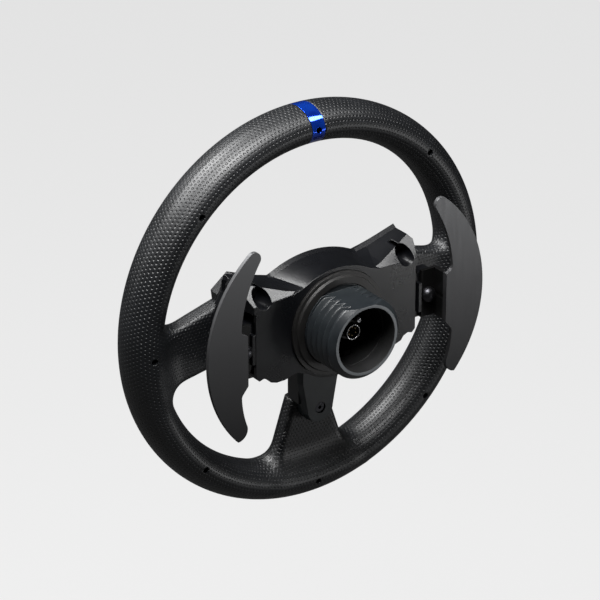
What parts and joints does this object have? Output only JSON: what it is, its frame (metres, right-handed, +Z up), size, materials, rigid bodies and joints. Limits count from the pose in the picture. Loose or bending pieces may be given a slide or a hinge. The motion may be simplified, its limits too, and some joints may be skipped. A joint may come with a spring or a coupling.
{
  "type": "racing wheel",
  "caption": "Round gaming steering wheel with a dimpled grip, shift paddles behind the rim, thumb buttons and a threaded quick-release tube.",
  "frame": {"origin": "on the wheel's turning axis, in the middle plane of the rim", "axes": "+Y to the rear along the turning axis, towards the wheel base; +Z up, through the band at twelve o'clock; +X to the driver's right"},
  "size_m": [0.28, 0.0951, 0.28],
  "materials": {
    "grip_rubber": "dimpled soft-touch",
    "frame_metal": "cast, as machined",
    "blue_band": "glossy anodised blue",
    "black_steel": "black oxide",
    "bright_steel": "zinc plated",
    "housing_plastic": "satin moulded",
    "bracket_plastic": "fine texture",
    "gloss_trim": "gloss black",
    "flange_plastic": "satin",
    "tube_plastic": "glass-filled moulding",
    "inner_plastic": "matte black",
    "connector_metal": "nickel plated",
    "pin_brass": "gold flash",
    "cable_rubber": "matte sheath",
    "board_green": "solder mask",
    "keymat_rubber": "silicone",
    "button_plastic": "satin",
    "switch_plastic": "moulded",
    "paddle_metal": "dark brushed, anodised"
  },
  "bodies": {
    "wheel": {"rim_frame": "frame_metal", "rim_rear_shell": "grip_rubber", "rim_front_shell": "grip_rubber", "centre_band": "blue_band", "rim_screws": "black_steel", "front_housing": "housing_plastic", "rear_housing": "housing_plastic", "pod_screws": "black_steel", "centre_cap": "gloss_trim", "lower_bracket": "bracket_plastic", "bracket_screw": "black_steel", "hub_flange": "flange_plastic", "quick_release_tube": "tube_plastic", "tube_screws": "bright_steel", "connector_carrier": "inner_plastic", "connector_shell": "connector_metal", "connector_pins": "pin_brass", "connector_screw": "bright_steel", "connector_cable": "cable_rubber", "main_board": "board_green", "pod_keymat_right": "keymat_rubber", "pod_board_right": "board_green", "hinge_pin_right": "bright_steel", "paddle_chassis_right": "inner_plastic", "paddle_switch_right": "switch_plastic", "paddle_spring_right": "bright_steel", "pod_keymat_left": "keymat_rubber", "pod_board_left": "board_green", "hinge_pin_left": "bright_steel", "paddle_chassis_left": "inner_plastic", "paddle_switch_left": "switch_plastic", "paddle_spring_left": "bright_steel"},
    "action_button_top": {"action_button_top": "button_plastic"},
    "action_button_right": {"action_button_right": "button_plastic"},
    "action_button_bottom": {"action_button_bottom": "button_plastic"},
    "action_button_left": {"action_button_left": "button_plastic"},
    "thumb_button_left_outer": {"thumb_button_left_outer": "button_plastic"},
    "thumb_button_left_inner": {"thumb_button_left_inner": "button_plastic"},
    "thumb_button_right_outer": {"thumb_button_right_outer": "button_plastic"},
    "thumb_button_right_inner": {"thumb_button_right_inner": "button_plastic"},
    "menu_button_left": {"menu_button_left": "button_plastic"},
    "menu_button_right": {"menu_button_right": "button_plastic"},
    "home_button": {"home_button": "button_plastic"},
    "dpad_rocker": {"dpad_rocker": "inner_plastic"},
    "dpad": {"dpad": "button_plastic"},
    "paddle_right": {"paddle_right": "paddle_metal", "paddle_lever_right": "housing_plastic", "paddle_screw_right": "black_steel"},
    "paddle_left": {"paddle_left": "paddle_metal", "paddle_lever_left": "housing_plastic", "paddle_screw_left": "black_steel"}
  },
  "joints": [
    {"name": "action_button_top_press", "type": "slide", "parent": "wheel", "child": "action_button_top", "axis": [0, 1, 0], "range_m": [0, 0.0012]},
    {"name": "action_button_right_press", "type": "slide", "parent": "wheel", "child": "action_button_right", "axis": [0, 1, 0], "range_m": [0, 0.0012]},
    {"name": "action_button_bottom_press", "type": "slide", "parent": "wheel", "child": "action_button_bottom", "axis": [0, 1, 0], "range_m": [0, 0.0012]},
    {"name": "action_button_left_press", "type": "slide", "parent": "wheel", "child": "action_button_left", "axis": [0, 1, 0], "range_m": [0, 0.0012]},
    {"name": "thumb_button_left_outer_press", "type": "slide", "parent": "wheel", "child": "thumb_button_left_outer", "axis": [0, 1, 0], "range_m": [0, 0.0012]},
    {"name": "thumb_button_left_inner_press", "type": "slide", "parent": "wheel", "child": "thumb_button_left_inner", "axis": [0, 1, 0], "range_m": [0, 0.0012]},
    {"name": "thumb_button_right_outer_press", "type": "slide", "parent": "wheel", "child": "thumb_button_right_outer", "axis": [0, 1, 0], "range_m": [0, 0.0012]},
    {"name": "thumb_button_right_inner_press", "type": "slide", "parent": "wheel", "child": "thumb_button_right_inner", "axis": [0, 1, 0], "range_m": [0, 0.0012]},
    {"name": "menu_button_left_press", "type": "slide", "parent": "wheel", "child": "menu_button_left", "axis": [0, 1, 0], "range_m": [0, 0.0012]},
    {"name": "menu_button_right_press", "type": "slide", "parent": "wheel", "child": "menu_button_right", "axis": [0, 1, 0], "range_m": [0, 0.0012]},
    {"name": "home_button_press", "type": "slide", "parent": "wheel", "child": "home_button", "axis": [0, 1, 0], "range_m": [0, 0.0012]},
    {"name": "dpad_rock_up_down", "type": "hinge", "parent": "wheel", "child": "dpad_rocker", "pos_m": [-0.0445, -0.0166, 0.0005], "axis": [1, 0, 0], "range_deg": [-4, 4]},
    {"name": "dpad_rock_left_right", "type": "hinge", "parent": "dpad_rocker", "child": "dpad", "pos_m": [-0.0445, -0.0166, 0.0005], "axis": [0, 0, 1], "range_deg": [-4, 4]},
    {"name": "paddle_right_pull", "type": "hinge", "parent": "wheel", "child": "paddle_right", "pos_m": [0.052, 0.03, 0], "axis": [0, 0, -1], "range_deg": [0, 6]},
    {"name": "paddle_left_pull", "type": "hinge", "parent": "wheel", "child": "paddle_left", "pos_m": [-0.052, 0.03, 0], "axis": [0, 0, 1], "range_deg": [0, 6]}
  ]
}
